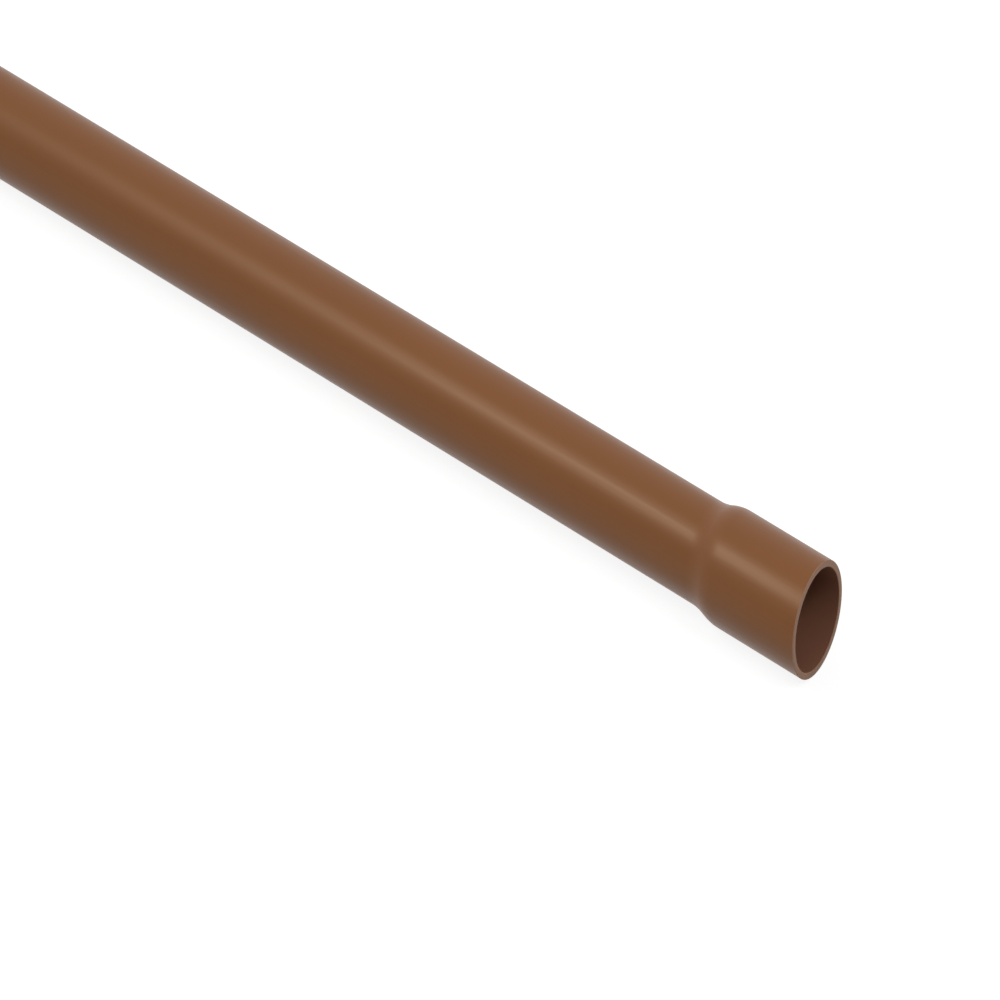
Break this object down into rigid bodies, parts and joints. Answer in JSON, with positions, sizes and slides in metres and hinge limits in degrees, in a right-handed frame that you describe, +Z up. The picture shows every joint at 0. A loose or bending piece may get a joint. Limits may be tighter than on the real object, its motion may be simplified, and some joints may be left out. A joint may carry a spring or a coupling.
{
  "type": "pvc pipe",
  "caption": "Straight brown PVC water pipe with one belled socket end and one plain end, for solvent-welded cold-water plumbing.",
  "frame": {"origin": "on the floor, under the middle of the pipe's length", "axes": "+X along the pipe's axis, out of the bell's mouth; +Z up from the floor that the pipe lies on"},
  "size_m": [3, 0.0284, 0.0284],
  "materials": {
    "brown_pvc": "satin"
  },
  "bodies": {
    "root": {"pipe": "brown_pvc"}
  },
  "joints": []
}
